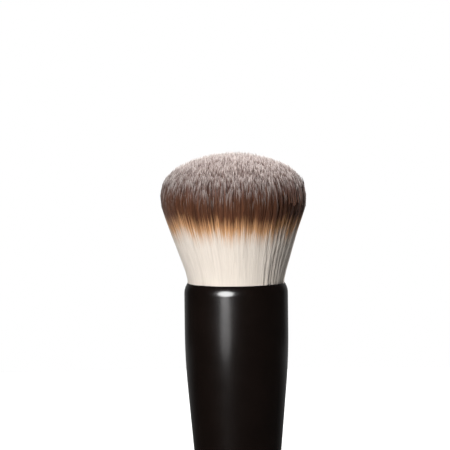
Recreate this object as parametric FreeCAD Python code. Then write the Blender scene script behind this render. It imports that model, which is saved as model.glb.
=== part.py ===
import FreeCAD, Part

import math
import os

# A dense, domed foundation brush that stands upright on the flat end of its
# handle. Millimetres, +Z up, origin at the centre of the foot.

# Handle: one turned piece, straight below the mouth and then tapering to the foot
handle_length = 88.0
barrel_diameter = 26.0
mouth_diameter = 24.3
straight_length = 17.0        # from the mouth to the corner where the taper would start
taper_angle = 4.95            # degrees between the tapered side and the axis
taper_blend_radius = 160.0    # the long soft curve over that corner
foot_chamfer = 0.8
lip_drop = 2.1                # how far below the mouth the lip's rounding starts
bore_depth = 20.0

# Cup: a drawn aluminium thimble that binds the roots and is glued into the bore
cup_glue_gap = 0.1            # glue film all round the cup's wall
cup_wall = 0.4
cup_floor = 0.6
cup_height = 16.0

# Plug: the resin that locks the roots together at the bottom of the cup
plug_height = 7.0

# Tuft: its outline above the mouth
tuft_play = 0.1               # between the filaments and the walls round them
tuft_diameter = 36.4
shoulder_height = 21.6        # the widest line, above the mouth
shoulder_radius = 9.3         # the arc round the widest line
crown_radius = 29.2           # the shallow arc over the top
collar_height = 1.0           # the filaments leave the mouth straight for this far

# Side locks: ridges of filaments up the flare, long and short in turn
side_locks = 60
side_relief = 0.04            # depth of the grooves between them, as a share of the radius
side_overlap = 1.06           # a lock's width, as a share of its pitch
long_tip_angle = 25.5         # of a long lock's point on the shoulder's arc, above the widest line
short_tip_angle = 13.5

# Crown locks: pointed, in rings, each standing on a flat terrace of the bundle
crown_ring_pitch = 2.0
crown_edge_room = 2.0         # left outside the last ring for the side locks' points
locks_per_ring_step = 6       # the rings hold 6, 12, 18 ... locks
crown_lock_sides = 5
crown_lock_radius = 0.86      # a lock's thickness below its point
crown_point_length = 1.8
crown_lock_length = 3.4
terrace_depth = 1.4           # of a terrace, below the points that stand on it
ring_turn = 137.5             # degrees from ring to ring, so that no rows line up

# Heights and radii that follow from these sizes
barrel_radius = barrel_diameter / 2
mouth_radius = mouth_diameter / 2
tapered_length = handle_length - straight_length
taper = math.radians(taper_angle)
bore_floor_z = handle_length - bore_depth
cup_top_z = bore_floor_z + cup_height
cup_outer_radius = mouth_radius - cup_glue_gap
cup_inner_radius = cup_outer_radius - cup_wall
cup_floor_z = bore_floor_z + cup_floor
plug_top_z = cup_floor_z + plug_height
root_radius = cup_inner_radius - tuft_play
collar_radius = mouth_radius - tuft_play
collar_z = handle_length + collar_height
tuft_radius = tuft_diameter / 2
shoulder_z = handle_length + shoulder_height
shoulder_centre_r = tuft_radius - shoulder_radius
crown_centre_z = shoulder_z - math.sqrt((crown_radius - shoulder_radius) ** 2 - shoulder_centre_r ** 2)
crown_rings = int((tuft_radius - crown_edge_room) / crown_ring_pitch)


def at(radius, z):
    """A point of an outline: its distance from the axis and its height."""
    return FreeCAD.Vector(radius, 0, z)


def line(start, end):
    return Part.LineSegment(start, end).toShape()


def arc(centre, radius, start_angle, end_angle):
    """An arc of an outline, with its angles in radians above the horizontal."""
    angles = (start_angle, (start_angle + end_angle) / 2, end_angle)
    points = [centre + at(math.cos(angle), math.sin(angle)) * radius for angle in angles]
    return Part.Arc(*points).toShape()


def turned(edges):
    """The solid that a closed outline sweeps round the axis."""
    face = Part.Face(Part.Wire(edges))
    return face.revolve(FreeCAD.Vector(0, 0, 0), FreeCAD.Vector(0, 0, 1), 360)


def turned_points(points):
    """The same, for an outline with straight sides only."""
    return turned([line(start, end) for start, end in zip(points, points[1:] + points[:1])])


def make_handle():
    """The turned body: a chamfered foot, the taper and its blend, the rounded lip and the bore."""
    foot_radius = barrel_radius - tapered_length * math.tan(taper)
    foot_side = at(foot_radius + foot_chamfer * math.tan(taper), foot_chamfer)
    blend_end = at(barrel_radius, tapered_length + taper_blend_radius * math.tan(taper / 2))
    blend_centre = blend_end - at(taper_blend_radius, 0)
    blend_start = blend_centre + at(math.cos(taper), -math.sin(taper)) * taper_blend_radius
    lip_width = barrel_radius - mouth_radius
    lip_radius = (lip_width ** 2 + lip_drop ** 2) / (2 * lip_width)
    lip_start = at(barrel_radius, handle_length - lip_drop)
    lip_centre = lip_start - at(lip_radius, 0)
    mouth = at(mouth_radius, handle_length)
    bore_corner = at(mouth_radius, bore_floor_z)
    return turned([
        line(at(0, 0), at(foot_radius - foot_chamfer, 0)),
        line(at(foot_radius - foot_chamfer, 0), foot_side),
        line(foot_side, blend_start),
        arc(blend_centre, taper_blend_radius, -taper, 0),
        line(blend_end, lip_start),
        arc(lip_centre, lip_radius, 0, math.asin(lip_drop / lip_radius)),
        line(mouth, bore_corner),
        line(bore_corner, at(0, bore_floor_z)),
        line(at(0, bore_floor_z), at(0, 0)),
    ])


def make_knot_cup():
    """The drawn cup, whose floor sits on the floor of the bore."""
    return turned_points([
        at(0, bore_floor_z),
        at(cup_outer_radius, bore_floor_z),
        at(cup_outer_radius, cup_top_z),
        at(cup_inner_radius, cup_top_z),
        at(cup_inner_radius, cup_floor_z),
        at(0, cup_floor_z),
    ])


def make_glue_plug():
    """The cast resin, which fills the cup's floor from wall to wall."""
    return turned_points([
        at(0, cup_floor_z),
        at(cup_inner_radius, cup_floor_z),
        at(cup_inner_radius, plug_top_z),
        at(0, plug_top_z),
    ])


def flare_angle():
    """Angle from the axis of the side's straight line, which just touches the shoulder's arc."""
    to_centre = at(shoulder_centre_r - collar_radius, shoulder_z - collar_z)
    return math.asin(shoulder_radius / to_centre.Length) + math.atan2(to_centre.x, to_centre.z)


def on_shoulder(angle):
    """The point of the shoulder's arc at an angle above the widest line."""
    return at(shoulder_centre_r, shoulder_z) + at(math.cos(angle), math.sin(angle)) * shoulder_radius


def flare_end():
    """Where that straight line meets the shoulder's arc."""
    return on_shoulder(-flare_angle())


def ring_tip(ring):
    """The point of a ring's locks, on the crown's arc or the shoulder's."""
    radius = ring * crown_ring_pitch
    arcs_meet = crown_radius * shoulder_centre_r / (crown_radius - shoulder_radius)
    if radius < arcs_meet:
        return at(radius, crown_centre_z + math.sqrt(crown_radius ** 2 - radius ** 2))
    return at(radius, shoulder_z + math.sqrt(shoulder_radius ** 2 - (radius - shoulder_centre_r) ** 2))


def fan_direction(tip):
    """Along a filament that ends at tip: all of them fan from one point on the axis."""
    fan_centre = at(0, collar_z - collar_radius / math.tan(flare_angle()))
    return (tip - fan_centre).normalize()


def terrace_foot(ring):
    """Distance from the axis at which a ring's locks rise out of their terrace."""
    tip = ring_tip(ring)
    along = fan_direction(tip)
    return tip.x - along.x * terrace_depth / along.z


def terrace_edge(ring):
    """A terrace's outer edge: half-way to the next ring, or as far out as its inner edge is in."""
    if ring < crown_rings:
        return (terrace_foot(ring) + terrace_foot(ring + 1)) / 2
    return 2 * terrace_foot(ring) - terrace_edge(ring - 1)


def make_bundle():
    """The packed middle of the tuft, from the roots up to the terraces under the crown locks."""
    inside = 1 - 1.5 * side_relief
    outline = [
        at(0, plug_top_z),
        at(root_radius, plug_top_z),
        at(root_radius, cup_top_z),
        at(collar_radius * inside, cup_top_z),
        at(collar_radius * inside, collar_z),
        at(flare_end().x * inside, flare_end().z),
        at(tuft_radius * inside, shoulder_z),
        at(terrace_edge(crown_rings), shoulder_z),
    ]
    for ring in range(crown_rings, -1, -1):
        terrace_z = ring_tip(ring).z - terrace_depth
        outline.append(at(terrace_edge(ring), terrace_z))
        outline.append(at(terrace_edge(ring - 1) if ring else 0, terrace_z))
    return turned_points(outline)


def side_section(radius, z):
    """A ridge's five corners at one height: its crest stands on the tuft's outline."""
    half_width = math.pi * radius / side_locks * side_overlap
    buried = radius * (1 - 2 * side_relief)
    flank = radius * (1 - side_relief)
    left = [(buried, -half_width), (flank, -half_width)]
    right = [(flank, half_width), (buried, half_width)]
    return [FreeCAD.Vector(x, y, z) for x, y in left + [(radius, 0)] + right]


def flat_sided(sections, tip):
    """A solid with flat sides through sections of like form, from a flat foot to a point."""
    outlines = [sections[0]]
    for lower, upper in zip(sections, sections[1:]):
        outlines += [[lower[i - 1], lower[i], upper[i], upper[i - 1]] for i in range(len(lower))]
    last = sections[-1]
    outlines += [[last[i - 1], last[i], tip] for i in range(len(last))]
    shell = Part.Shell([Part.Face(Part.makePolygon(outline + outline[:1])) for outline in outlines])
    shell.sewShape()
    solid = Part.Solid(shell)
    if solid.Volume < 0:
        solid.reverse()
    return solid


def make_side_lock(tip_angle):
    """One lock of the flared side, from inside the mouth to its point over the widest line."""
    return flat_sided([
        side_section(collar_radius, handle_length - collar_height),
        side_section(collar_radius, collar_z),
        side_section(flare_end().x, flare_end().z),
        side_section(tuft_radius, shoulder_z),
    ], on_shoulder(math.radians(tip_angle)))


def make_crown_lock(ring):
    """One pointed lock of the crown, leaning outwards as the filaments fan."""
    tip = ring_tip(ring)
    along = fan_direction(tip)

    def section(depth):
        circle = Part.makeCircle(crown_lock_radius, tip - along * depth, along)
        return circle.discretize(crown_lock_sides + 1)[:-1]
    return flat_sided([section(crown_lock_length), section(crown_point_length)], tip)


def ring_of(shape, count, start_angle=0.0):
    """Copies of a shape evenly round the axis."""
    copies = []
    for index in range(count):
        copy = shape.copy()
        angle = start_angle + 360.0 * index / count
        copy.rotate(FreeCAD.Vector(0, 0, 0), FreeCAD.Vector(0, 0, 1), angle)
        copies.append(copy)
    return copies


def make_tuft():
    """The bundle with its side locks and its rings of crown locks, all grown together."""
    half = side_locks // 2
    locks = ring_of(make_side_lock(long_tip_angle), half)
    locks += ring_of(make_side_lock(short_tip_angle), half, 360.0 / side_locks)
    locks.append(make_crown_lock(0))
    for ring in range(1, crown_rings + 1):
        locks += ring_of(make_crown_lock(ring), ring * locks_per_ring_step, ring * ring_turn)
    return make_bundle().multiFuse(locks)


def only_solid(shape):
    """The one solid that a piece must be."""
    solids = shape.Solids
    if len(solids) != 1 or not solids[0].isValid():
        raise ValueError("a piece has %d solids, or one that isn't valid" % len(solids))
    return solids[0]


os.makedirs("parts", exist_ok=True)
pieces = {
    "handle": make_handle(),
    "knot_cup": make_knot_cup(),
    "glue_plug": make_glue_plug(),
    "tuft": make_tuft(),
}
for name, shape in pieces.items():
    solid = only_solid(shape)
    solid.exportStep("parts/" + name + ".step")
    print(name, "volume %.0f mm3" % solid.Volume)
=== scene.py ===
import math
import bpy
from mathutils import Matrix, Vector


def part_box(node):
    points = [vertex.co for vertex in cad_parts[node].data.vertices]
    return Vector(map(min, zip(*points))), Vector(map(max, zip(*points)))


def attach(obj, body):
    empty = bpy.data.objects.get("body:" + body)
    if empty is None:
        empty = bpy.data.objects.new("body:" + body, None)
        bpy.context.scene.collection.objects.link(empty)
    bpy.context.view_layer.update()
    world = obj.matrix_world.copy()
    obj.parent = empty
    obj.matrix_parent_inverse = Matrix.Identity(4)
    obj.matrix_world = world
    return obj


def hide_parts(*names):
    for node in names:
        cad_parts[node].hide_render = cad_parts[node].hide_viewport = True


bl_info = {
    "name": "Domed foundation brush",
    "version": (1, 0, 0),
    "blender": (4, 5, 0),
    "location": "3D View > Sidebar > Brush",
    "description": "Dresses the solids of a foundation brush with lacquer and dyed filaments, in a studio",
    "category": "Object",
}

import bmesh
import bpy
import numpy as np
from bpy.props import FloatProperty, FloatVectorProperty, IntProperty, PointerProperty
from mathutils import Matrix, Vector

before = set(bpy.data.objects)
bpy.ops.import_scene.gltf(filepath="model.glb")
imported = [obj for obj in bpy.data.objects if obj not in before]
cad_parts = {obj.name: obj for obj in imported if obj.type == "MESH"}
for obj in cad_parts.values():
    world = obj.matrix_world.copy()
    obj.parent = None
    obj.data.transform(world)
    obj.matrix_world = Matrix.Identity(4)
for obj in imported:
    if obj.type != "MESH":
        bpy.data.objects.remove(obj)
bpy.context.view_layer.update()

# Heights and radii that the solids give, in metres
MOUTH_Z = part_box("handle")[1].z
BARREL_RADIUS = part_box("handle")[1].x
TUFT_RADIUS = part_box("tuft")[1].x
BORE_FLOOR_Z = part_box("knot_cup")[0].z

MM = 0.001
WHITE = (1.0, 1.0, 1.0, 1.0)

# How finely the turned shapes are divided
HANDLE_SEGMENTS = 160
BUNDLE_SEGMENTS = 96
FLOOR_SEGMENTS = 96
FOOT_POINTS = 8
CURVE_POINTS = 14
SHARP_ANGLE = math.radians(30)

# Noise keeps mostly to this range, so it is spread from there
NOISE_LOW = 0.3
NOISE_HIGH = 0.7


def length(name, description, default):
    """A size in metres that the panel shows with its unit."""
    return FloatProperty(name=name, description=description, default=default, unit="LENGTH", precision=5)


def angle(name, description, degrees):
    """An angle in radians that the panel shows in degrees."""
    return FloatProperty(name=name, description=description, default=math.radians(degrees), unit="ROTATION")


def colour(name, description, default):
    """A plain colour."""
    return FloatVectorProperty(name=name, description=description, default=default, size=3, subtype="COLOR")


def share(name, description, default):
    """A number from 0 to 1."""
    return FloatProperty(name=name, description=description, default=default, subtype="FACTOR")


def power(name, description, default):
    """A lamp's power in watts."""
    return FloatProperty(name=name, description=description, default=default, unit="POWER")


def number(name, description, default):
    """A count."""
    return IntProperty(name=name, description=description, default=default, min=0)


class HandleSettings(bpy.types.PropertyGroup):
    straight_length: length("Straight length", "From the mouth to where the taper would start", 19 * MM)
    taper: angle("Taper", "Between the tapered side and the axis", 4.95)
    blend_radius: length("Blend radius", "Of the long curve over that corner", 160 * MM)
    foot_rounding: length("Foot rounding", "Radius of the foot's edge", 1.0 * MM)
    lip_drop: length("Lip drop", "How far below the mouth the lip's rounding starts", 2.65 * MM)
    lip_width: length("Lip width", "From the bore to the barrel's side", 0.85 * MM)
    lacquer: colour("Lacquer", "Colour of the black lacquer", (0.0054, 0.0026, 0.0017))
    roughness: share("Roughness", "Of the lacquer", 0.22)
    unevenness: share("Unevenness", "By how much the roughness rises and falls", 0.025)
    specular: share("Specular level", "Of the lacquer, under its clear coat", 0.8)
    coat: share("Clear coat", "Weight of the clear coat", 0.65)
    coat_roughness: share("Coat roughness", "Of the clear coat", 0.13)


class TuftSettings(bpy.types.PropertyGroup):
    shoulder_height: length("Shoulder height", "Of the widest line, above the mouth", 21.15 * MM)
    shoulder_radius: length("Shoulder radius", "Of the arc round the widest line", 9.3 * MM)
    crown_radius: length("Crown radius", "Of the shallow arc over the top", 29.2 * MM)
    collar_radius: length("Collar radius", "Of the bundle in the mouth", 12.0 * MM)
    collar_height: length("Collar height", "How far the filaments rise straight out of the mouth", 1.2 * MM)
    top_angle: angle("Top angle", "Where on the shoulder's arc the outermost filaments end", 32.0)
    sway: length("Sway", "How far the tuft stands to the left of the handle's axis", 0.45 * MM)
    sway_height: length("Sway height", "Above the mouth, where the sway is complete", 16.0 * MM)
    side_filaments: number("Side filaments", "Full-length ones in the skin", 13500)
    crown_filaments: number("Crown filaments", "Ends that fill the dome", 43200)
    thickness: length("Filament thickness", "Across the thick lower part", 0.2 * MM)
    side_shortfall: length("Side shortfall", "How much shorter the side's shortest are", 6.5 * MM)
    crown_shortfall: length("Crown shortfall", "How much shorter the dome's shortest are", 3.2 * MM)
    tip_colour: colour("Tip", "The very ends", (0.88, 0.785, 0.74))
    mauve_colour: colour("Mauve", "Below the tips", (0.125, 0.071, 0.06))
    brown_colour: colour("Dark brown", "The dark band", (0.115, 0.042, 0.019))
    tan_colour: colour("Tan", "The golden band", (0.59, 0.31, 0.142))
    cream_colour: colour("Cream", "From the tan band to the roots", (0.86, 0.775, 0.685))
    roughness: share("Roughness", "Of the filaments", 0.5)
    specular: share("Specular level", "Of the filaments", 0.15)
    sheen: share("Sheen", "Soft light that the filaments catch", 0.15)
    sheen_roughness: share("Sheen roughness", "How widely that light spreads", 0.5)


class StageSettings(bpy.types.PropertyGroup):
    camera_distance: length("Camera distance", "From the brush's axis", 0.9)
    camera_elevation: angle("Camera elevation", "Above the horizontal", 4.0)
    camera_roll: angle("Camera roll", "Leans the brush in the picture", -0.64)
    frame_width: length("Frame width", "Of the picture, at the brush", 112.7 * MM)
    aim_height: length("Aim height", "Of the picture's centre above the mouth", 14.45 * MM)
    aim_side: length("Aim to the side", "Of the picture's centre from the axis", 2.6 * MM)
    key_side: angle("Key light's side", "To the left of the camera", 24.0)
    key_height: angle("Key light's height", "Above the horizontal", 14.5)
    key_width: length("Key light's width", "Of the main soft light", 0.37)
    key_tall: length("Key light's own height", "Of the main soft light", 0.35)
    key_power: power("Key power", "Of the main soft light", 3.4)
    front_power: power("Front power", "Of the light by the camera", 0.4)
    top_power: power("Top power", "Of the soft light above", 4.8)
    back_power: power("Back power", "Of the light behind", 3.4)
    strip_power: power("Strip power", "Of the low strip in the lacquer", 0.016)
    ambient: share("Ambient", "Strength of the even light from all round", 0.05)
    room_reflection: share("Room reflection", "How bright the unlit room is in glossy surfaces", 0.018)
    backdrop_reflection: share("Backdrop reflection", "How bright the backdrop is in glossy surfaces", 0.17)
    floor_radius: length("Floor radius", "Of the round floor", 0.6)
    floor_white_from: length("White from", "How far from the brush the floor runs into the backdrop", 0.33)
    floor_tone: share("Floor tone", "How much light the floor throws back", 0.25)
    floor_glow: share("Floor glow", "What the floor by the brush has of the backdrop's white", 0.68)


def new_object(name, mesh):
    """A piece at the origin, with its place in its mesh."""
    piece = bpy.data.objects.new(name, mesh)
    bpy.context.scene.collection.objects.link(piece)
    return piece


def dress(piece, slot, material, *nodes):
    """Gives a piece its material and its place in the frame."""
    piece.data.materials.append(material)
    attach(piece, "root")
    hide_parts(*nodes)


def mesh_of(bm, name):
    """The mesh of a bmesh, which is freed."""
    mesh = bpy.data.meshes.new(name)
    bm.to_mesh(mesh)
    bm.free()
    return mesh


def spun_mesh(name, outline, segments):
    """The closed surface that an outline of (radius, height) points sweeps round the axis."""
    bm = bmesh.new()
    verts = [bm.verts.new((radius, 0.0, height)) for radius, height in outline]
    edges = [bm.edges.new(pair) for pair in zip(verts, verts[1:])]
    bmesh.ops.spin(
        bm, geom=verts + edges, cent=(0, 0, 0), axis=(0, 0, 1), dvec=(0, 0, 0),
        angle=2 * math.pi, steps=segments, use_merge=True, use_duplicate=False,
    )
    bmesh.ops.remove_doubles(bm, verts=bm.verts[:], dist=1e-7)
    bmesh.ops.recalc_face_normals(bm, faces=bm.faces[:])
    mesh = mesh_of(bm, name)
    mesh.shade_smooth()
    mesh.set_sharp_from_angle(angle=SHARP_ANGLE)
    return mesh


def arc_points(centre, radius, start, end, count):
    """Points of an arc in the outline's plane, both ends included."""
    angles = np.linspace(start, end, count)
    return [(centre[0] + radius * math.cos(a), centre[1] + radius * math.sin(a)) for a in angles]


def handle_outline(sizes):
    """The handle's outline from the middle of its foot, up its side, over the lip and down the bore."""
    taper = sizes.taper
    corner_z = MOUTH_Z - sizes.straight_length
    foot_radius = BARREL_RADIUS - corner_z * math.tan(taper)
    rounding = sizes.foot_rounding
    foot_centre = (foot_radius - rounding * (1 / math.cos(taper) - math.tan(taper)), rounding)
    blend_centre = (BARREL_RADIUS - sizes.blend_radius, corner_z + sizes.blend_radius * math.tan(taper / 2))
    lip_radius = (sizes.lip_width ** 2 + sizes.lip_drop ** 2) / (2 * sizes.lip_width)
    lip_angle = math.asin(sizes.lip_drop / lip_radius)
    lip_centre = (BARREL_RADIUS - lip_radius, MOUTH_Z - sizes.lip_drop)
    outline = [(0.0, 0.0)]
    outline += arc_points(foot_centre, rounding, -math.pi / 2, -taper, FOOT_POINTS)
    outline += arc_points(blend_centre, sizes.blend_radius, -taper, 0.0, CURVE_POINTS)
    outline += arc_points(lip_centre, lip_radius, 0.0, lip_angle, CURVE_POINTS)
    outline += [(BARREL_RADIUS - sizes.lip_width, BORE_FLOOR_Z), (0.0, BORE_FLOOR_Z)]
    return outline


class Nodes:
    """Short ways to add, set and join the nodes of one material or world."""

    # A Mix node's two inputs and its output, for each kind of data
    MIX_SOCKETS = {"FLOAT": (2, 3, 0), "RGBA": (6, 7, 2)}

    def __init__(self, owner, shader="Principled BSDF"):
        owner.use_nodes = True
        self.owner = owner
        self.tree = owner.node_tree
        self.shader = self.tree.nodes[shader]

    def add(self, kind, **settings):
        """A new node with its own settings."""
        node = self.tree.nodes.new(kind)
        for setting, value in settings.items():
            setattr(node, setting, value)
        return node

    def feed(self, socket, value):
        """Joins an output to a socket, or sets the socket to a plain value."""
        if isinstance(value, bpy.types.NodeSocket):
            self.tree.links.new(value, socket)
        else:
            socket.default_value = value

    def feed_shader(self, values):
        """Feeds sockets of the shader by their names."""
        for name, value in values.items():
            self.feed(self.shader.inputs[name], value)

    def maths(self, operation, first, second):
        """The result of one operation on two numbers."""
        node = self.add("ShaderNodeMath", operation=operation)
        self.feed(node.inputs[0], first)
        self.feed(node.inputs[1], second)
        return node.outputs[0]

    def spread(self, value, low, high, new_low, new_high):
        """Maps low to high onto a new range, held at its ends."""
        node = self.add("ShaderNodeMapRange")
        for socket, given in zip(node.inputs, (value, low, high, new_low, new_high)):
            self.feed(socket, given)
        return node.outputs["Result"]

    def spread_noise(self, noise, new_low, new_high, low=NOISE_LOW, high=NOISE_HIGH):
        """Maps the usual range of noise onto a new one."""
        return self.spread(noise, low, high, new_low, new_high)

    def mix(self, kind, factor, first, second):
        """A number or colour between two others."""
        node = self.add("ShaderNodeMix", data_type=kind)
        first_socket, second_socket, result = self.MIX_SOCKETS[kind]
        self.feed(node.inputs[0], factor)
        self.feed(node.inputs[first_socket], first)
        self.feed(node.inputs[second_socket], second)
        return node.outputs[result]

    def object_place(self):
        """Where a point lies in the brush's own frame."""
        return self.add("ShaderNodeTexCoord").outputs["Object"]

    def drawn_out(self, vector, along):
        """Squeezes the brush's long direction, so that a pattern is drawn out along it."""
        node = self.add("ShaderNodeMapping")
        self.feed(node.inputs["Vector"], vector)
        self.feed(node.inputs["Scale"], (1.0, 1.0, along))
        return node.outputs["Vector"]

    def parts(self, vector):
        """The X, Y and Z of a vector, by name."""
        node = self.add("ShaderNodeSeparateXYZ")
        self.feed(node.inputs["Vector"], vector)
        return node.outputs

    def noise(self, vector, scale, detail):
        """Noise in space, with its scale in waves a metre."""
        node = self.add("ShaderNodeTexNoise")
        self.feed(node.inputs["Vector"], vector)
        self.feed(node.inputs["Scale"], scale)
        self.feed(node.inputs["Detail"], detail)
        return node.outputs["Fac"]

    def noise_along(self, value, scale):
        """Noise of one number, such as a filament's own."""
        node = self.add("ShaderNodeTexNoise", noise_dimensions="1D")
        self.feed(node.inputs["W"], value)
        self.feed(node.inputs["Scale"], scale)
        self.feed(node.inputs["Detail"], 0.0)
        return node.outputs["Fac"]

    def ramp(self, value, stops):
        """Colours at positions from 0 to 1, blended between."""
        node = self.add("ShaderNodeValToRGB")
        elements = node.color_ramp.elements
        while len(elements) < len(stops):
            elements.new(0.5)
        for element, (position, rgb) in zip(elements, stops):
            element.position = position
            element.color = (*rgb, 1.0)
        self.feed(node.inputs["Fac"], value)
        return node.outputs["Color"]

    def tinted(self, colour_output, value):
        """A colour made darker or lighter by a number."""
        node = self.add("ShaderNodeVectorMath", operation="SCALE")
        self.feed(node.inputs[0], colour_output)
        self.feed(node.inputs["Scale"], value)
        return node.outputs["Vector"]

    def bump(self, height, strength, distance):
        """Raises the shader's surface by a height."""
        node = self.add("ShaderNodeBump")
        self.feed(node.inputs["Height"], height)
        self.feed(node.inputs["Strength"], strength)
        self.feed(node.inputs["Distance"], distance)
        self.feed(self.shader.inputs["Normal"], node.outputs["Normal"])


def lacquer_material(sizes):
    """Black lacquer, satin to glossy, with the faint unevenness of a sprayed coat."""
    nodes = Nodes(bpy.data.materials.new("black_lacquer"))
    place = nodes.object_place()
    cloud = nodes.noise(place, scale=120.0, detail=3.0)
    grain = nodes.noise(place, scale=2600.0, detail=2.0)
    tone = Vector(sizes.lacquer)
    least, most = sizes.roughness - sizes.unevenness, sizes.roughness + sizes.unevenness
    nodes.feed_shader({
        "Base Color": nodes.ramp(cloud, [(NOISE_LOW, tone * 0.85), (NOISE_HIGH, tone * 1.2)]),
        "Roughness": nodes.spread_noise(cloud, least, most),
        "Specular IOR Level": sizes.specular,
        "Coat Weight": sizes.coat,
        "Coat Roughness": sizes.coat_roughness,
    })
    nodes.bump(grain, strength=0.12, distance=0.01 * MM)
    return nodes.owner


def aluminium_material():
    """Drawn aluminium with fine marks along the draw."""
    nodes = Nodes(bpy.data.materials.new("drawn_aluminium"))
    marks = nodes.noise(nodes.drawn_out(nodes.object_place(), along=0.06), scale=3000.0, detail=3.0)
    nodes.feed_shader({
        "Base Color": nodes.ramp(marks, [(NOISE_LOW, (0.72, 0.72, 0.73)), (NOISE_HIGH, (0.84, 0.84, 0.85))]),
        "Roughness": nodes.spread_noise(marks, 0.3, 0.42),
        "Metallic": 1.0,
    })
    nodes.bump(marks, strength=0.2, distance=0.02 * MM)
    return nodes.owner


def resin_material():
    """Cast amber resin with the ends of the roots showing through."""
    nodes = Nodes(bpy.data.materials.new("root_resin"))
    place = nodes.object_place()
    roots = nodes.noise(place, scale=5000.0, detail=1.0)
    cloud = nodes.noise(place, scale=300.0, detail=3.0)
    nodes.feed_shader({
        "Base Color": nodes.ramp(roots, [(0.35, (0.42, 0.33, 0.18)), (0.65, (0.74, 0.68, 0.54))]),
        "Roughness": nodes.spread_noise(cloud, 0.22, 0.4),
    })
    nodes.bump(roots, strength=0.2, distance=0.03 * MM)
    return nodes.owner


# Tuft: every filament is one of a clump, and follows the clump's path from the mouth to the dome

CLUMP_SIZE = 4
FILAMENT_SIDES = 3
ROOT_DEPTH = 2.0 * MM          # filaments start this far down in the mouth
COLLAR_EASE = 0.8 * MM         # softness of the bend out of the mouth
LONGEST = 0.4 * MM             # by how much the longest stand out of the dome
FURTHEST_ALONG = 1.05          # paths follow the skin's form this far, where 0 is the root and 1 the dome
GATHERED_BY = 0.8              # how far along a filament has joined its clump
STRAY = 0.035                  # radians by which a filament's root strays from its clump's direction
DRIFT = 0.016                  # radians by which a clump drifts round the axis on its way up
SPLAY = 0.25 * MM              # by how much a clump's tip leans aside
SPLAY_POWER = 1.5              # how late a tip starts to lean, where 1 is evenly from the gathering on
OWN_DRIFT = 0.004              # by how much a filament's drift differs from its clump's, in radians
OWN_MARK = 0.015               # by how much its number from 0 to 1 differs from its clump's
OWN_OFFSET = 0.06 * MM         # how far it stands from the middle of its clump
OWN_SPLAY = 0.06 * MM          # by how much its lean differs from its clump's
OWN_LENGTH = 0.12 * MM         # by how much its length differs from what its number gives
TIP_THICKNESS = 0.45           # a filament's thickness at its tip, as a share of its full thickness
TAPER_LENGTH = 8.0 * MM        # from its tip to where it is fully thick
SLOPE_STEP = 0.2 * MM          # half the distance over which the skin's slope is measured

# Filaments of the side, which make the skin
SIDE_SEED = 11
SIDE_PIECES = 3
SIDE_OUTERMOST = 0.994         # where the outermost stand, as a share of the skin's radius
SIDE_LAYER = 0.08              # share of the radius over which they are spread
SIDE_LAYER_POWER = 1.6         # how much more of them stand near the outside
SIDE_POWER = 1.15              # how they spread between full length and the shortest
SIDE_PALE_TIP = 3.2            # length of the longest pale tips, in millimetres
SIDE_EVENNESS = 0.85           # share of their shading that follows the skin
SIDE_LOW = np.array([-ROOT_DEPTH, 0.9 * MM, 3.0 * MM])        # lower stations of a path, above the mouth
SIDE_HIGH = np.array([11.0, 7.5, 4.5, 1.8, 0.0]) * MM         # upper stations, below the tip

# Filaments of the dome, which show only their ends
CROWN_SEED = 23
CROWN_PIECES = 2
CROWN_OUTERMOST = 0.98
CROWN_POWER = 1.3
CROWN_PALE_TIP = 1.9
CROWN_EVENNESS = 0.5
CROWN_HIGH = np.array([5.0, 1.5, 0.0]) * MM

# Gaps between the locks of the skin: direction and half width in degrees, depth as a share of the radius,
# and by how many degrees the gap leans aside from the roots to the tips
PARTINGS = (
    (-27.0, 2.6, 0.2, -5.0), (-33.5, 1.3, 0.17, -4.0), (-38.5, 1.6, 0.2, -4.0), (-44.0, 1.3, 0.17, -4.0),
    (-48.5, 1.3, 0.13, -5.0), (-55.5, 1.0, 0.05, -4.0), (-19.0, 2.2, 0.16, -3.0), (-4.0, 1.4, 0.1, -4.0),
    (9.0, 2.0, 0.12, 5.0), (31.0, 1.5, 0.09, -4.0), (62.0, 1.1, 0.03, 3.0), (97.0, 1.3, 0.035, -5.0),
    (121.0, 1.5, 0.035, 4.0), (158.0, 1.1, 0.03, -4.0), (-161.0, 1.3, 0.035, 5.0), (-133.0, 1.0, 0.025, -3.0),
)
LEAN_PIVOT = 0.4               # share of the way up at which a leaning gap lies in its own direction
CLOSING_FROM = 0.6             # share of the way up from which the gaps close
CLOSED_SHARE = 0.85            # by how much they have closed at the tips
LOOSE_SIDE = (-22.0, 26.0)     # where the locks stay apart down to the mouth: direction and half width
LOOSE_PROUD = 0.02             # share of the radius by which the outermost locks there stand out
LOOSE_DEPTH = 0.025            # share of the radius by which locks lie deeper than those, on average
LOOSE_DEEPEST = 0.1            # the most that one does

# Dye: its material counts depths from the dome in millimetres
DYE_SPAN = 36.0 * MM           # length of filament that the dye's map covers
MAP_WIDTH = 0.006              # share of the dye's map that one filament is wide
DYE_WAVE = 1.2 * MM            # how unevenly deep the bundle stood in the dye
DYE_WAVES = ((4, 1.0), (7, 3.1), (11, 0.2))                   # waves round the bundle, and where each starts
DYE_EASE = 8.0 * MM            # depth below the tip from which that moves the bands in full
# The first entry is painted light: at the tuft's right-hand edge, as the camera sees it, it lifts the tan and
# cream bands by 5 mm, for the golden glow of light from behind shining through the outer filaments.
DYED_APART_AND_PAINTED_BACKLIGHT = (                 # locks dyed apart, and a painted glow: direction, half width, and how much lower their bands lie
    (-5.0, 8.0, -5.0 * MM),
    (-42.0, 15.0, 0.7 * MM),
)
LEVELLED = 0.75                # how far a short filament's bands lie level with those of its neighbours
BAND_STRAY_MM = 0.8            # how far a filament's bands lie from where they should
TONE_STRAY = 0.4               # share by which a filament is darker or lighter than its band
CALM_TONES = 0.12              # how much of that is left in the cream
CALM_FROM_MM = 10.0            # depth from which it fades, and the depth where it has faded
CALM_BY_MM = 15.0
LEAST_PALE_TIP_MM = 0.5        # length of the shortest pale tips
PALE_TIP_POWER = 1.5           # how quickly a pale tip fades
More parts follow.
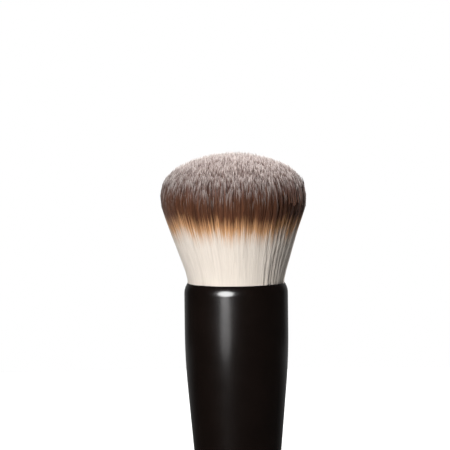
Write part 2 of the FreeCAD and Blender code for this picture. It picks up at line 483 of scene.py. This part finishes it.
DULL_FROM = 0.25               # a filament's number from which its tip, which ends lower down, is less pale
DULL_BY = 0.95                 # the number at which that has its full effect
DULL_PALENESS = 0.06           # what is left of the paleness there

# Packed middle of the tuft, just under the filaments; its dyed colour is darkened as painted shade for the
# dark between them
BUNDLE_ROOT_Z = -8.0 * MM      # above the mouth
BUNDLE_SHARE = 0.85            # of the skin's radius
BUNDLE_SIDE_DROP = 1.5 * MM    # from the top of the skin to the top of its side
BUNDLE_DOME_DROP = 2.0 * MM    # from the tuft's dome to its own
BUNDLE_EDGE = 0.8 * MM         # from its side to where its dome starts
BUNDLE_SIDE_POINTS = 26
BUNDLE_DOME_POINTS = 22
BUNDLE_DYE_SPAN = 30.0 * MM    # height over which its colours run
BUNDLE_STRAY = 0.03            # how unevenly they do, as a share of that height
BUNDLE_PAINTED_SHADE_DARKEST = 0.08          # painted shade: share of the dye's lightness that the middle keeps, for the dark between the filaments
BUNDLE_PAINTED_SHADE_LIGHTEST = 0.25


def eased(value):
    """Rises softly from nothing at 0 to one at 1, and stays there."""
    held = np.clip(value, 0.0, 1.0)
    return held ** 2 * (3 - 2 * held)


def unit(directions):
    """Directions made one long."""
    return directions / np.linalg.norm(directions, axis=-1, keepdims=True)


def bell(turns, direction, half_width):
    """One in a direction, given in degrees, and nothing away from it."""
    off = (np.degrees(turns) - direction + 180.0) % 360.0 - 180.0
    return np.exp(-(off / half_width) ** 2)


def flare_of(tuft):
    """The side's angle from the axis, and the height above the mouth at which it meets the shoulder's arc."""
    centre_r = TUFT_RADIUS - tuft.shoulder_radius
    across = centre_r - tuft.collar_radius
    up = tuft.shoulder_height - tuft.collar_height
    flare = math.asin(tuft.shoulder_radius / math.hypot(across, up)) + math.atan2(across, up)
    return flare, tuft.shoulder_height - tuft.shoulder_radius * math.sin(flare)


def outer_radius(height, tuft):
    """Radius of the outermost filament at heights above the mouth."""
    flare, flare_end = flare_of(tuft)
    risen = np.logaddexp(0.0, (height - tuft.collar_height) / COLLAR_EASE) * COLLAR_EASE
    side = tuft.collar_radius + risen * math.tan(flare)
    inside = np.maximum(tuft.shoulder_radius ** 2 - (height - tuft.shoulder_height) ** 2, 0.0)
    shoulder = TUFT_RADIUS - tuft.shoulder_radius + np.sqrt(inside)
    return np.where(height < flare_end, side, shoulder)


def dome_height(radius, tuft):
    """Height above the mouth of the tuft's top, at distances from the axis."""
    centre_r = TUFT_RADIUS - tuft.shoulder_radius
    apart = tuft.crown_radius - tuft.shoulder_radius
    crown_centre = tuft.shoulder_height - math.sqrt(apart ** 2 - centre_r ** 2)
    arcs_meet = tuft.crown_radius * centre_r / apart
    crown = crown_centre + np.sqrt(tuft.crown_radius ** 2 - np.minimum(radius, tuft.crown_radius) ** 2)
    inside = np.maximum(tuft.shoulder_radius ** 2 - (radius - centre_r) ** 2, 0.0)
    return np.where(radius < arcs_meet, crown, tuft.shoulder_height + np.sqrt(inside))


def top_of_skin(tuft):
    """Height above the mouth at which the outermost filaments end."""
    return tuft.shoulder_height + tuft.shoulder_radius * math.sin(tuft.top_angle)


def top_radius(tuft):
    """Radius at which the outermost filaments end."""
    return float(outer_radius(np.array(top_of_skin(tuft)), tuft))


def swayed(x, height, tuft):
    """Moves points to the left, more with height up to the sway's own height."""
    return x - tuft.sway * eased(height / tuft.sway_height)


def gaps(turns, along):
    """How much of the radius is missing in the gaps between locks, less towards the tips."""
    closed = CLOSED_SHARE * np.clip((along - CLOSING_FROM) / (1.0 - CLOSING_FROM), 0.0, 1.0)
    return (1.0 - closed) * sum(
        depth * bell(turns, direction + lean * (along - LEAN_PIVOT), half_width)
        for direction, half_width, depth, lean in PARTINGS
    )


def bands_lower_by_dye_and_painted_backlight(turns):
    """How much further from the tips the dye's bands lie in each direction, with the painted glow of
    backlight lifting them at the right-hand edge.
    """
    wave = sum(np.sin(count * turns + start) for count, start in DYE_WAVES) / len(DYE_WAVES)
    apart = sum(lower * bell(turns, direction, half_width) for direction, half_width, lower in DYED_APART_AND_PAINTED_BACKLIGHT)
    return DYE_WAVE * wave + apart


class Clumps:
    """Where filaments stand: spread in the mouth, and gathered into their clumps towards the tips."""

    def __init__(self, rng, count, shares, turns, shortfall, length_power, tuft):
        clumps = len(shares)
        member = np.repeat(np.arange(clumps), CLUMP_SIZE)[:count]
        drift = rng.normal(0.0, DRIFT, clumps)
        marks = rng.uniform(0.0, 1.0, clumps)
        loose = bell(turns, *LOOSE_SIDE)
        self.loose = loose[member]
        self.root_shares = rng.permutation(shares[member])
        deeper = np.minimum(rng.exponential(LOOSE_DEPTH, clumps), LOOSE_DEEPEST)
        self.shares = (shares * (1 + loose * (LOOSE_PROUD - deeper)))[member]
        self.turns = turns[member]
        self.strays = rng.normal(0.0, STRAY, count)
        self.drift = drift[member] + rng.normal(0.0, OWN_DRIFT, count)
        self.marks = np.clip(marks[member] + rng.normal(0.0, OWN_MARK, count), 0.0, 1.0)
        self.offsets = rng.normal(0.0, OWN_OFFSET, (count, 2))
        self.splay = rng.normal(0.0, SPLAY, (clumps, 2))[member] + rng.normal(0.0, OWN_SPLAY, (count, 2))
        self.full_tips = dome_height(self.shares * top_radius(tuft), tuft)
        self.tips = self.full_tips + LONGEST - shortfall * self.marks ** length_power
        self.tips += rng.normal(0.0, OWN_LENGTH, count)

    def paths(self, heights, tuft, parted):
        """Points of every filament at heights above the mouth, with their directions and skin levels."""
        along = (heights + ROOT_DEPTH) / (self.full_tips[:, None] + ROOT_DEPTH)
        along = np.clip(along, 0.0, FURTHEST_ALONG)
        level = along * (top_of_skin(tuft) + ROOT_DEPTH) - ROOT_DEPTH
        skin = outer_radius(level, tuft)
        gathered = np.maximum(eased(along / GATHERED_BY), self.loose[:, None])
        angles = self.turns[:, None] + self.drift[:, None] * along ** 2
        angles = angles + self.strays[:, None] * (1 - gathered)
        shares = self.root_shares[:, None] * (1 - gathered) + self.shares[:, None] * gathered
        if parted:
            shares = shares - gaps(angles, along)
        leaning = np.clip((along - GATHERED_BY) / (1.0 - GATHERED_BY), 0.0, 1.0) ** SPLAY_POWER
        x = shares * skin * np.cos(angles) + self.offsets[:, :1] * gathered + self.splay[:, :1] * leaning
        y = shares * skin * np.sin(angles) + self.offsets[:, 1:] * gathered + self.splay[:, 1:] * leaning
        points = np.stack([swayed(x, heights, tuft), y, heights + MOUTH_Z], axis=-1)
        return points, angles, level

    def side_facing(self, angles, level, tuft):
        """Outward directions of the flared side."""
        narrowing = outer_radius(level - SLOPE_STEP, tuft) - outer_radius(level + SLOPE_STEP, tuft)
        return unit(np.stack([np.cos(angles), np.sin(angles), narrowing / (2 * SLOPE_STEP)], axis=-1))

    def crown_facing(self, angles, tuft):
        """Outward directions of the dome, at each filament's end."""
        radius = self.shares * top_radius(tuft)
        fall = dome_height(np.abs(radius - SLOPE_STEP), tuft) - dome_height(radius + SLOPE_STEP, tuft)
        fall = fall[:, None] / (2 * SLOPE_STEP)
        return unit(np.stack([fall * np.cos(angles), fall * np.sin(angles), np.ones_like(angles)], axis=-1))


def filament_template(stations):
    """One filament of unit radius, with a unit between stations, that ends in a point."""
    bm = bmesh.new()
    bmesh.ops.create_circle(bm, segments=FILAMENT_SIDES, radius=1.0)
    ring = bm.edges[:]
    for _ in range(stations - 1):
        made = bmesh.ops.extrude_edge_only(bm, edges=ring)["geom"]
        verts = [part for part in made if isinstance(part, bmesh.types.BMVert)]
        ring = [part for part in made if isinstance(part, bmesh.types.BMEdge)]
        bmesh.ops.translate(bm, verts=verts, vec=(0, 0, 1))
    bmesh.ops.pointmerge(bm, verts=verts, merge_co=(0, 0, stations - 1))
    bmesh.ops.recalc_face_normals(bm, faces=bm.faces[:])
    bm.verts.index_update()
    places = np.array([vert.co[:] for vert in bm.verts])
    corners = [[loop.vert.index for loop in face.loops] for face in bm.faces]
    around = []
    for face in bm.faces:
        middle = math.atan2(face.calc_center_median().y, face.calc_center_median().x)
        for loop in face.loops:
            at = loop.vert.co
            on_axis = math.hypot(at.x, at.y) < 0.5
            off = 0.0 if on_axis else math.atan2(at.y, at.x) - middle
            off = (off + math.pi) % (2 * math.pi) - math.pi
            around.append((middle + off) / (2 * math.pi) + 0.5)
    bm.free()
    return places, corners, np.array(around)


def filament_thickness(depths, tuft):
    """Thickness at depths below the tip: fine there, and full further down."""
    grown = np.clip(depths / TAPER_LENGTH, 0.0, 1.0) ** 0.5
    return tuft.thickness * (TIP_THICKNESS + (1 - TIP_THICKNESS) * grown)


def planted_mesh(name, plan, paths, facing_out, evenness, tuft, rng):
    """Copies of the template along every path, with the dye's map and the skin's shading on them."""
    count, stations = paths.shape[:2]
    places, corners, around = filament_template(stations)
    station = np.rint(places[:, 2]).astype(int)
    turn = rng.uniform(0.0, 2 * math.pi, count)[:, None]
    across_x = np.cos(turn) * places[:, 0] - np.sin(turn) * places[:, 1]
    across_y = np.sin(turn) * places[:, 0] + np.cos(turn) * places[:, 1]
    depths = paths[:, -1:, 2] - paths[:, :, 2]
    half = filament_thickness(depths, tuft)[:, station] / 2
    points = paths[:, station, :]
    points[:, :, 0] += across_x * half
    points[:, :, 1] += across_y * half
    own = np.stack([across_x, across_y, np.zeros_like(across_x)], axis=-1)
    shading = unit(own * (1 - evenness) + facing_out[:, station, :] * evenness)

    loop_verts = np.concatenate(corners)
    sizes = np.array([len(face) for face in corners])
    starts = np.concatenate([[0], np.cumsum(sizes)[:-1]])
    every = np.arange(count)[:, None]
    mesh = bpy.data.meshes.new(name)
    mesh.vertices.add(count * len(places))
    mesh.vertices.foreach_set("co", points.astype(np.float32).ravel())
    mesh.loops.add(count * len(loop_verts))
    mesh.loops.foreach_set("vertex_index", (loop_verts + every * len(places)).astype(np.int32).ravel())
    mesh.polygons.add(count * len(corners))
    mesh.polygons.foreach_set("loop_start", (starts + every * len(loop_verts)).astype(np.int32).ravel())
    mesh.update(calc_edges=True)
    mesh.validate()
    mesh.shade_smooth()
    mesh.normals_split_custom_set_from_vertices(shading.reshape(-1, 3))

    dye_map = mesh.uv_layers.new(name="OFBake")
    # These depths carry the dye's uneven bands and the painted glow of backlight at the right-hand edge.
    band_depths = depths - bands_lower_by_dye_and_painted_backlight(plan.turns)[:, None] * np.clip(depths / DYE_EASE, 0.0, 1.0)
    u = plan.marks[:, None] * (1 - 2 * MAP_WIDTH) + around * MAP_WIDTH
    v = 1.0 - band_depths[:, station[loop_verts]] / DYE_SPAN
    dye_map.data.foreach_set("uv", np.stack([u, v], axis=-1).astype(np.float32).ravel())
    return mesh


def plant(name, plan, paths, facing_out, evenness, material, tuft, rng):
    """Makes one piece of the tuft from the filaments of a plan."""
    mesh = planted_mesh(name, plan, paths, facing_out, evenness, tuft, rng)
    dress(new_object(name, mesh), "filaments", material, "tuft")


def dye_material(name, shortfall, length_power, longest_pale_tip, tuft):
    """The dyed bands: pale at each filament's own tip, and then by the depth below the dome."""
    nodes = Nodes(bpy.data.materials.new(name))
    dye_map = nodes.parts(nodes.add("ShaderNodeUVMap", uv_map="OFBake").outputs["UV"])
    mark = dye_map["X"]
    span = DYE_SPAN / MM
    tip_depth = nodes.spread(dye_map["Y"], 0.0, 1.0, span, 0.0)
    missing = nodes.maths("MULTIPLY", nodes.maths("POWER", mark, length_power), LEVELLED * shortfall / MM)
    strayed = nodes.spread_noise(nodes.noise_along(mark, scale=60.0), -BAND_STRAY_MM, BAND_STRAY_MM)
    depth = nodes.maths("ADD", nodes.maths("ADD", tip_depth, missing), strayed)

    tip, mauve = Vector(tuft.tip_colour), Vector(tuft.mauve_colour)
    brown, tan, cream = Vector(tuft.brown_colour), Vector(tuft.tan_colour), Vector(tuft.cream_colour)
    bands = [
        (0.0, mauve.lerp(tip, 0.08)),
        (1.0, mauve),
        (3.6, mauve.lerp(brown, 0.5)),
        (5.2, brown * 0.86),
        (7.2, brown * 0.84),
        (8.8, brown),
        (10.3, brown.lerp(tan, 0.5)),
        (11.8, tan),
        (13.6, tan.lerp(cream, 0.65)),
        (15.8, cream),
    ]
    banded = nodes.ramp(nodes.maths("DIVIDE", depth, span), [(at / span, rgb) for at, rgb in bands])
    contrast = nodes.spread(depth, CALM_FROM_MM, CALM_BY_MM, 1.0, CALM_TONES)
    tone = nodes.spread_noise(nodes.noise_along(mark, scale=85.0), -TONE_STRAY, TONE_STRAY)
    lightness = nodes.maths("ADD", nodes.maths("MULTIPLY", tone, contrast), 1.0)
    banded = nodes.tinted(banded, lightness)

    pale_noise = nodes.noise_along(mark, scale=110.0)
    pale_length = nodes.spread_noise(pale_noise, LEAST_PALE_TIP_MM, longest_pale_tip, low=0.35, high=0.65)
    paleness = nodes.spread(nodes.maths("DIVIDE", tip_depth, pale_length), 0.0, 1.0, 1.0, 0.0)
    paleness = nodes.maths("POWER", paleness, PALE_TIP_POWER)
    dulled = nodes.spread(mark, DULL_FROM, DULL_BY, 1.0, DULL_PALENESS)
    paleness = nodes.maths("MULTIPLY", paleness, dulled)
    nodes.feed_shader({
        "Base Color": nodes.mix("RGBA", paleness, banded, (*tip, 1.0)),
        "Roughness": tuft.roughness,
        "Specular IOR Level": tuft.specular,
        "Sheen Weight": tuft.sheen,
        "Sheen Roughness": tuft.sheen_roughness,
    })
    return nodes.owner


def bundle_material(tuft):
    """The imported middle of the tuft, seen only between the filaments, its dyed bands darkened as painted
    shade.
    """
    nodes = Nodes(bpy.data.materials.new("packed_filaments_in_painted_shade"))
    place = nodes.object_place()
    strands = nodes.noise(nodes.drawn_out(place, along=0.05), scale=4000.0, detail=2.0)
    height = nodes.spread(nodes.parts(place)["Z"], MOUTH_Z, MOUTH_Z + BUNDLE_DYE_SPAN, 0.0, 1.0)
    height = nodes.maths("ADD", height, nodes.spread_noise(strands, -BUNDLE_STRAY, BUNDLE_STRAY))
    brown, tan, cream = Vector(tuft.brown_colour), Vector(tuft.tan_colour), Vector(tuft.cream_colour)
    # The lowest band is tan rather than cream, so that the painted shade in the gaps is brown.
    bands = [
        (0.0, cream.lerp(tan, 0.6)),
        (0.3, tan),
        (0.46, tan.lerp(brown, 0.6)),
        (0.54, brown),
        (1.0, brown),
    ]
    # Painted shade: the bands' colour is darkened to a small share, for the dark between the filaments.
    shade = nodes.spread_noise(strands, BUNDLE_PAINTED_SHADE_DARKEST, BUNDLE_PAINTED_SHADE_LIGHTEST)
    nodes.feed_shader({
        "Base Color": nodes.tinted(nodes.ramp(height, bands), shade),
        "Roughness": 0.6,
    })
    nodes.bump(strands, strength=0.5, distance=0.1 * MM)
    return nodes.owner


class BRUSH_OT_handle(bpy.types.Operator):
    """Turn the lacquered handle, with its rounded lip and its bore"""
    bl_idname = "brush.handle"
    bl_label = "Handle"

    def execute(self, context):
        sizes = context.scene.brush_handle
        piece = new_object("handle_body", spun_mesh("handle_body", handle_outline(sizes), HANDLE_SEGMENTS))
        dress(piece, "handle_lacquer", lacquer_material(sizes), "handle")
        return {"FINISHED"}


class BRUSH_OT_knot(bpy.types.Operator):
    """Finish the hidden cup and the resin that hold the roots"""
    bl_idname = "brush.knot"
    bl_label = "Cup and resin"

    def execute(self, context):
        for node, material in (("knot_cup", aluminium_material()), ("glue_plug", resin_material())):
            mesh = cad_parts[node].data
            mesh.materials.clear()
            mesh.materials.append(material)
        return {"FINISHED"}


class BRUSH_OT_bundle(bpy.types.Operator):
    """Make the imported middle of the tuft, just under the filaments"""
    bl_idname = "brush.bundle"
    bl_label = "Packed middle"

    def execute(self, context):
        tuft = context.scene.brush_tuft
        heights = np.linspace(BUNDLE_ROOT_Z, top_of_skin(tuft) - BUNDLE_SIDE_DROP, BUNDLE_SIDE_POINTS)
        side = [(r * BUNDLE_SHARE, z) for r, z in zip(outer_radius(heights, tuft), heights)]
        radii = np.linspace(side[-1][0] - BUNDLE_EDGE, 0.0, BUNDLE_DOME_POINTS)
        dome = list(zip(radii, dome_height(radii, tuft) - BUNDLE_DOME_DROP))
        outline = [(0.0, BUNDLE_ROOT_Z)] + side + dome
        mesh = spun_mesh("tuft_bundle", [(r, z + MOUTH_Z) for r, z in outline], BUNDLE_SEGMENTS)
        for vert in mesh.vertices:
            vert.co.x = float(swayed(vert.co.x, vert.co.z - MOUTH_Z, tuft))
        dress(new_object("tuft_bundle", mesh), "filaments", bundle_material(tuft), "tuft")
        return {"FINISHED"}


class BRUSH_OT_side_filaments(bpy.types.Operator):
    """Plant the long filaments that make the flared side"""
    bl_idname = "brush.side_filaments"
    bl_label = "Side filaments"

    def execute(self, context):
        tuft = context.scene.brush_tuft
        material = dye_material("side_dye", tuft.side_shortfall, SIDE_POWER, SIDE_PALE_TIP, tuft)
        rng = np.random.default_rng(SIDE_SEED)
        count = tuft.side_filaments // SIDE_PIECES
        clumps = count // CLUMP_SIZE + 1
        for part in range(SIDE_PIECES):
            turns = rng.uniform(0.0, 2 * math.pi, clumps)
            shares = SIDE_OUTERMOST - SIDE_LAYER * rng.uniform(0.0, 1.0, clumps) ** SIDE_LAYER_POWER
            plan = Clumps(rng, count, shares, turns, tuft.side_shortfall, SIDE_POWER, tuft)
            tips = plan.tips[:, None]
            heights = np.hstack([SIDE_LOW * np.ones_like(tips), tips - SIDE_HIGH])
            paths, angles, level = plan.paths(heights, tuft, parted=True)
            facing_out = plan.side_facing(angles, level, tuft)
            name = "side_filaments_%d" % (part + 1)
            plant(name, plan, paths, facing_out, SIDE_EVENNESS, material, tuft, rng)
        return {"FINISHED"}


class BRUSH_OT_crown_filaments(bpy.types.Operator):
    """Plant the ends of the filaments that fill the dome"""
    bl_idname = "brush.crown_filaments"
    bl_label = "Crown filaments"

    def execute(self, context):
        tuft = context.scene.brush_tuft
        material = dye_material("crown_dye", tuft.crown_shortfall, CROWN_POWER, CROWN_PALE_TIP, tuft)
        rng = np.random.default_rng(CROWN_SEED)
        count = tuft.crown_filaments // CROWN_PIECES
        clumps = count // CLUMP_SIZE + 1
        for part in range(CROWN_PIECES):
            shares = np.sqrt(rng.uniform(0.0, CROWN_OUTERMOST ** 2, clumps))
            turns = rng.uniform(0.0, 2 * math.pi, clumps)
            plan = Clumps(rng, count, shares, turns, tuft.crown_shortfall, CROWN_POWER, tuft)
            paths, angles, _ = plan.paths(plan.tips[:, None] - CROWN_HIGH, tuft, parted=False)
            facing_out = plan.crown_facing(angles, tuft)
            name = "crown_filaments_%d" % (part + 1)
            plant(name, plan, paths, facing_out, CROWN_EVENNESS, material, tuft, rng)
        return {"FINISHED"}


# Stage: directions of lamps are degrees to the left of the camera and above the horizontal

LAMP_AIM = 10.0 * MM           # height above the mouth that the large lamps face
LAMP_DISTANCE = 0.6
FRONT_DIRECTION = (-25.0, 8.0)
FRONT_SIZE = (0.5, 0.3)
TOP_DIRECTION = (-140.0, 68.0)
TOP_SIZE = (0.4, 0.4)
BACK_DIRECTION = (-153.0, 30.0)
BACK_SIZE = (0.5, 0.4)
STRIP_DROP = 42.0 * MM         # from the mouth down to the height of the low strip
STRIP_DISTANCE = 0.3
STRIP_SIZE = (0.13, 0.055)
BACKDROP_FROM = 0.65           # how straight ahead a mirrored direction is where the paler backdrop starts
MIRROR_START = 0.2             # share of the floor's radius from which its mirror image grows paler
GLOW_START = 0.3               # share of the way to the white part from which the floor grows paler
SENSOR_WIDTH = 36.0            # of the camera, in millimetres


def make_world(stage):
    """Even light from all round, shown to the camera as white and as a dark room to glossy surfaces."""
    world = bpy.data.worlds.new("studio")
    bpy.context.scene.world = world
    nodes = Nodes(world, "Background")
    path = nodes.add("ShaderNodeLightPath").outputs
    ahead = nodes.parts(nodes.add("ShaderNodeTexCoord").outputs["Generated"])["Y"]
    mirrored = nodes.spread(ahead, BACKDROP_FROM, 1.0, stage.room_reflection, stage.backdrop_reflection)
    lit = nodes.mix("FLOAT", path["Is Glossy Ray"], stage.ambient, mirrored)
    seen = nodes.maths("MAXIMUM", path["Is Camera Ray"], path["Is Transmission Ray"])
    nodes.feed_shader({
        "Color": WHITE,
        "Strength": nodes.mix("FLOAT", seen, lit, 1.0),
    })


def floor_material(stage):
    """A pale floor that keeps the brush's shadow near the foot and turns white further out."""
    nodes = Nodes(bpy.data.materials.new("pale_floor"))
    place = nodes.object_place()
    path = nodes.add("ShaderNodeLightPath").outputs
    distance = nodes.add("ShaderNodeVectorMath", operation="LENGTH")
    nodes.feed(distance.inputs[0], place)
    white_from = stage.floor_white_from
    glow = nodes.spread(distance.outputs["Value"], white_from * GLOW_START, white_from, stage.floor_glow, 1.0)
    nodes.feed_shader({
        "Base Color": (stage.floor_tone,) * 3 + (1.0,),
        "Roughness": 0.9,
        "Specular IOR Level": 0.0,
        "Emission Color": WHITE,
        "Emission Strength": nodes.maths("MULTIPLY", glow, path["Is Camera Ray"]),
    })
    far = stage.floor_radius
    ahead = nodes.parts(place)["Y"]
    mirrored = nodes.add("ShaderNodeEmission")
    dim = nodes.spread(ahead, far * MIRROR_START, far, stage.room_reflection, stage.backdrop_reflection)
    nodes.feed(mirrored.inputs["Strength"], dim)
    both = nodes.add("ShaderNodeMixShader")
    nodes.feed(both.inputs["Fac"], path["Is Glossy Ray"])
    nodes.feed(both.inputs[1], nodes.shader.outputs["BSDF"])
    nodes.feed(both.inputs[2], mirrored.outputs["Emission"])
    nodes.feed(nodes.tree.nodes["Material Output"].inputs["Surface"], both.outputs["Shader"])
    return nodes.owner


def add_floor(stage):
    """The round floor that the brush stands on."""
    bm = bmesh.new()
    bmesh.ops.create_circle(bm, cap_ends=True, segments=FLOOR_SEGMENTS, radius=stage.floor_radius)
    floor = new_object("floor", mesh_of(bm, "floor"))
    floor.data.materials.append(floor_material(stage))


def towards(side, height):
    """A direction from the brush, at an angle to the left of the photograph's view and a height."""
    return Vector((-math.sin(side) * math.cos(height), -math.cos(side) * math.cos(height), math.sin(height)))


def facing(direction):
    """The turn of a lamp or camera that stands in a direction from what it looks at."""
    return direction.to_track_quat("Z", "Y")


def add_lamp(name, target, direction, distance, size, watts):
    """A soft oval lamp that faces a target from a direction."""
    lamp = bpy.data.lights.new(name, "AREA")
    lamp.shape = "ELLIPSE"
    lamp.size, lamp.size_y = size
    lamp.energy = watts
    holder = bpy.data.objects.new(name, lamp)
    bpy.context.scene.collection.objects.link(holder)
    holder.location = target + direction * distance
    holder.rotation_euler = facing(direction).to_euler()
    return holder


def add_lamps(stage):
    """The key light and the low strip, which the lacquer mirrors, and three more that it doesn't."""
    middle = Vector((0.0, 0.0, MOUTH_Z + LAMP_AIM))
    low = Vector((0.0, 0.0, MOUTH_Z - STRIP_DROP))
    key_size = (stage.key_width, stage.key_tall)
    key_direction = towards(stage.key_side, stage.key_height)
    add_lamp("key_light", middle, key_direction, LAMP_DISTANCE, key_size, stage.key_power)
    add_lamp("low_strip", low, towards(stage.key_side, 0.0), STRIP_DISTANCE, STRIP_SIZE, stage.strip_power)
    for name, (side, height), size, watts in (
        ("front_light", FRONT_DIRECTION, FRONT_SIZE, stage.front_power),
        ("top_light", TOP_DIRECTION, TOP_SIZE, stage.top_power),
        ("back_light", BACK_DIRECTION, BACK_SIZE, stage.back_power),
    ):
        direction = towards(math.radians(side), math.radians(height))
        lamp = add_lamp(name, middle, direction, LAMP_DISTANCE, size, watts)
        lamp.visible_glossy = False


def add_camera(stage):
    """The photograph's camera: a long lens a little above the brush, with the brush right of the middle."""
    aim = Vector((-stage.aim_side, 0.0, MOUTH_Z + stage.aim_height))
    direction = towards(0.0, stage.camera_elevation)
    camera = bpy.data.cameras.new("camera")
    camera.sensor_width = SENSOR_WIDTH
    camera.lens = SENSOR_WIDTH * stage.camera_distance / stage.frame_width
    camera.clip_start = 0.01
    holder = bpy.data.objects.new("camera", camera)
    bpy.context.scene.collection.objects.link(holder)
    holder.location = aim + direction * stage.camera_distance
    roll = Matrix.Rotation(stage.camera_roll, 3, "Z").to_quaternion()
    holder.rotation_euler = (facing(direction) @ roll).to_euler()
    bpy.context.scene.camera = holder


class BRUSH_OT_stage(bpy.types.Operator):
    """Set the plain floor, the soft lights and the photograph's camera"""
    bl_idname = "brush.stage"
    bl_label = "Stage"

    def execute(self, context):
        stage = context.scene.brush_stage
        add_floor(stage)
        make_world(stage)
        add_lamps(stage)
        add_camera(stage)
        context.scene.view_settings.view_transform = "Standard"
        return {"FINISHED"}


class BRUSH_PT_panel(bpy.types.Panel):
    """The brush's sizes, colours and makers"""
    bl_label = "Foundation brush"
    bl_idname = "BRUSH_PT_panel"
    bl_space_type = "VIEW_3D"
    bl_region_type = "UI"
    bl_category = "Brush"

    def draw(self, context):
        for settings in (context.scene.brush_handle, context.scene.brush_tuft, context.scene.brush_stage):
            box = self.layout.box()
            for name in type(settings).__annotations__:
                box.prop(settings, name)
        for maker in MAKERS:
            self.layout.operator(maker.bl_idname)


MAKERS = (
    BRUSH_OT_stage,
    BRUSH_OT_handle,
    BRUSH_OT_knot,
    BRUSH_OT_bundle,
    BRUSH_OT_side_filaments,
    BRUSH_OT_crown_filaments,
)
SETTINGS = (
    ("brush_handle", HandleSettings),
    ("brush_tuft", TuftSettings),
    ("brush_stage", StageSettings),
)


def register():
    for name, settings in SETTINGS:
        bpy.utils.register_class(settings)
        setattr(bpy.types.Scene, name, PointerProperty(type=settings))
    for kind in MAKERS + (BRUSH_PT_panel,):
        bpy.utils.register_class(kind)


def unregister():
    for kind in reversed(MAKERS + (BRUSH_PT_panel,)):
        bpy.utils.unregister_class(kind)
    for name, settings in reversed(SETTINGS):
        delattr(bpy.types.Scene, name)
        bpy.utils.unregister_class(settings)


def main():
    register()
    bpy.ops.brush.stage()
    bpy.ops.brush.handle()
    bpy.ops.brush.knot()
    bpy.ops.brush.bundle()
    bpy.ops.brush.side_filaments()
    bpy.ops.brush.crown_filaments()


if __name__ == "__main__":
    main()
